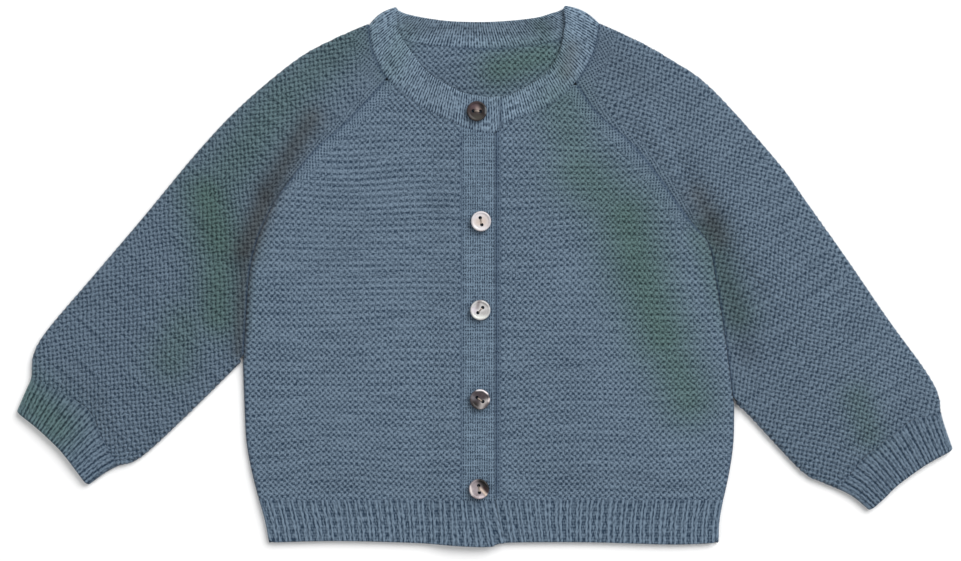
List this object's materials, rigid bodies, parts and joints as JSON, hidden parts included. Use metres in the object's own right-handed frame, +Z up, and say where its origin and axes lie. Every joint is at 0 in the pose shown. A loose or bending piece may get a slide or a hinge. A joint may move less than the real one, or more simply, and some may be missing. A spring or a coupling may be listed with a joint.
{
  "type": "baby cardigan",
  "caption": "Knitted raglan baby cardigan in blue-grey seed stitch with ribbed hem, cuffs and neckband and a row of shell buttons, buttoned and laid flat.",
  "frame": {"origin": "middle of the underside that lies on the table", "axes": "+X across the garment towards the wearer's left sleeve, +Y from the hem to the neck, +Z up off the table"},
  "size_m": [0.5336, 0.309, 0.0098],
  "materials": {
    "seed_stitch": "wool and cotton yarn knitted in seed stitch, matt",
    "rib": "the same yarn knitted in rib, matt",
    "band_knit": "the same yarn knitted in a fine plain band, matt",
    "pale_shell": "polished pale shell with a soft pearl lustre",
    "smoked_shell": "polished smoke-brown shell",
    "mixed_shell": "polished shell, half pale pink and half smoke-brown",
    "sewing_thread": "twisted sewing thread"
  },
  "bodies": {
    "root": {"back_panel": "seed_stitch", "front_right": "seed_stitch", "front_left": "seed_stitch", "sleeve_right": "seed_stitch", "sleeve_left": "seed_stitch", "hem_back": "rib", "hem_front_right": "rib", "hem_front_left": "rib", "cuff_right": "rib", "cuff_left": "rib", "neckband": "rib", "button_band": "band_knit", "buttonhole_band": "band_knit", "button_1": "smoked_shell", "button_thread_1": "sewing_thread", "button_2": "pale_shell", "button_thread_2": "sewing_thread", "button_3": "pale_shell", "button_thread_3": "sewing_thread", "button_4": "smoked_shell", "button_thread_4": "sewing_thread", "button_5": "mixed_shell", "button_thread_5": "sewing_thread"}
  },
  "joints": []
}
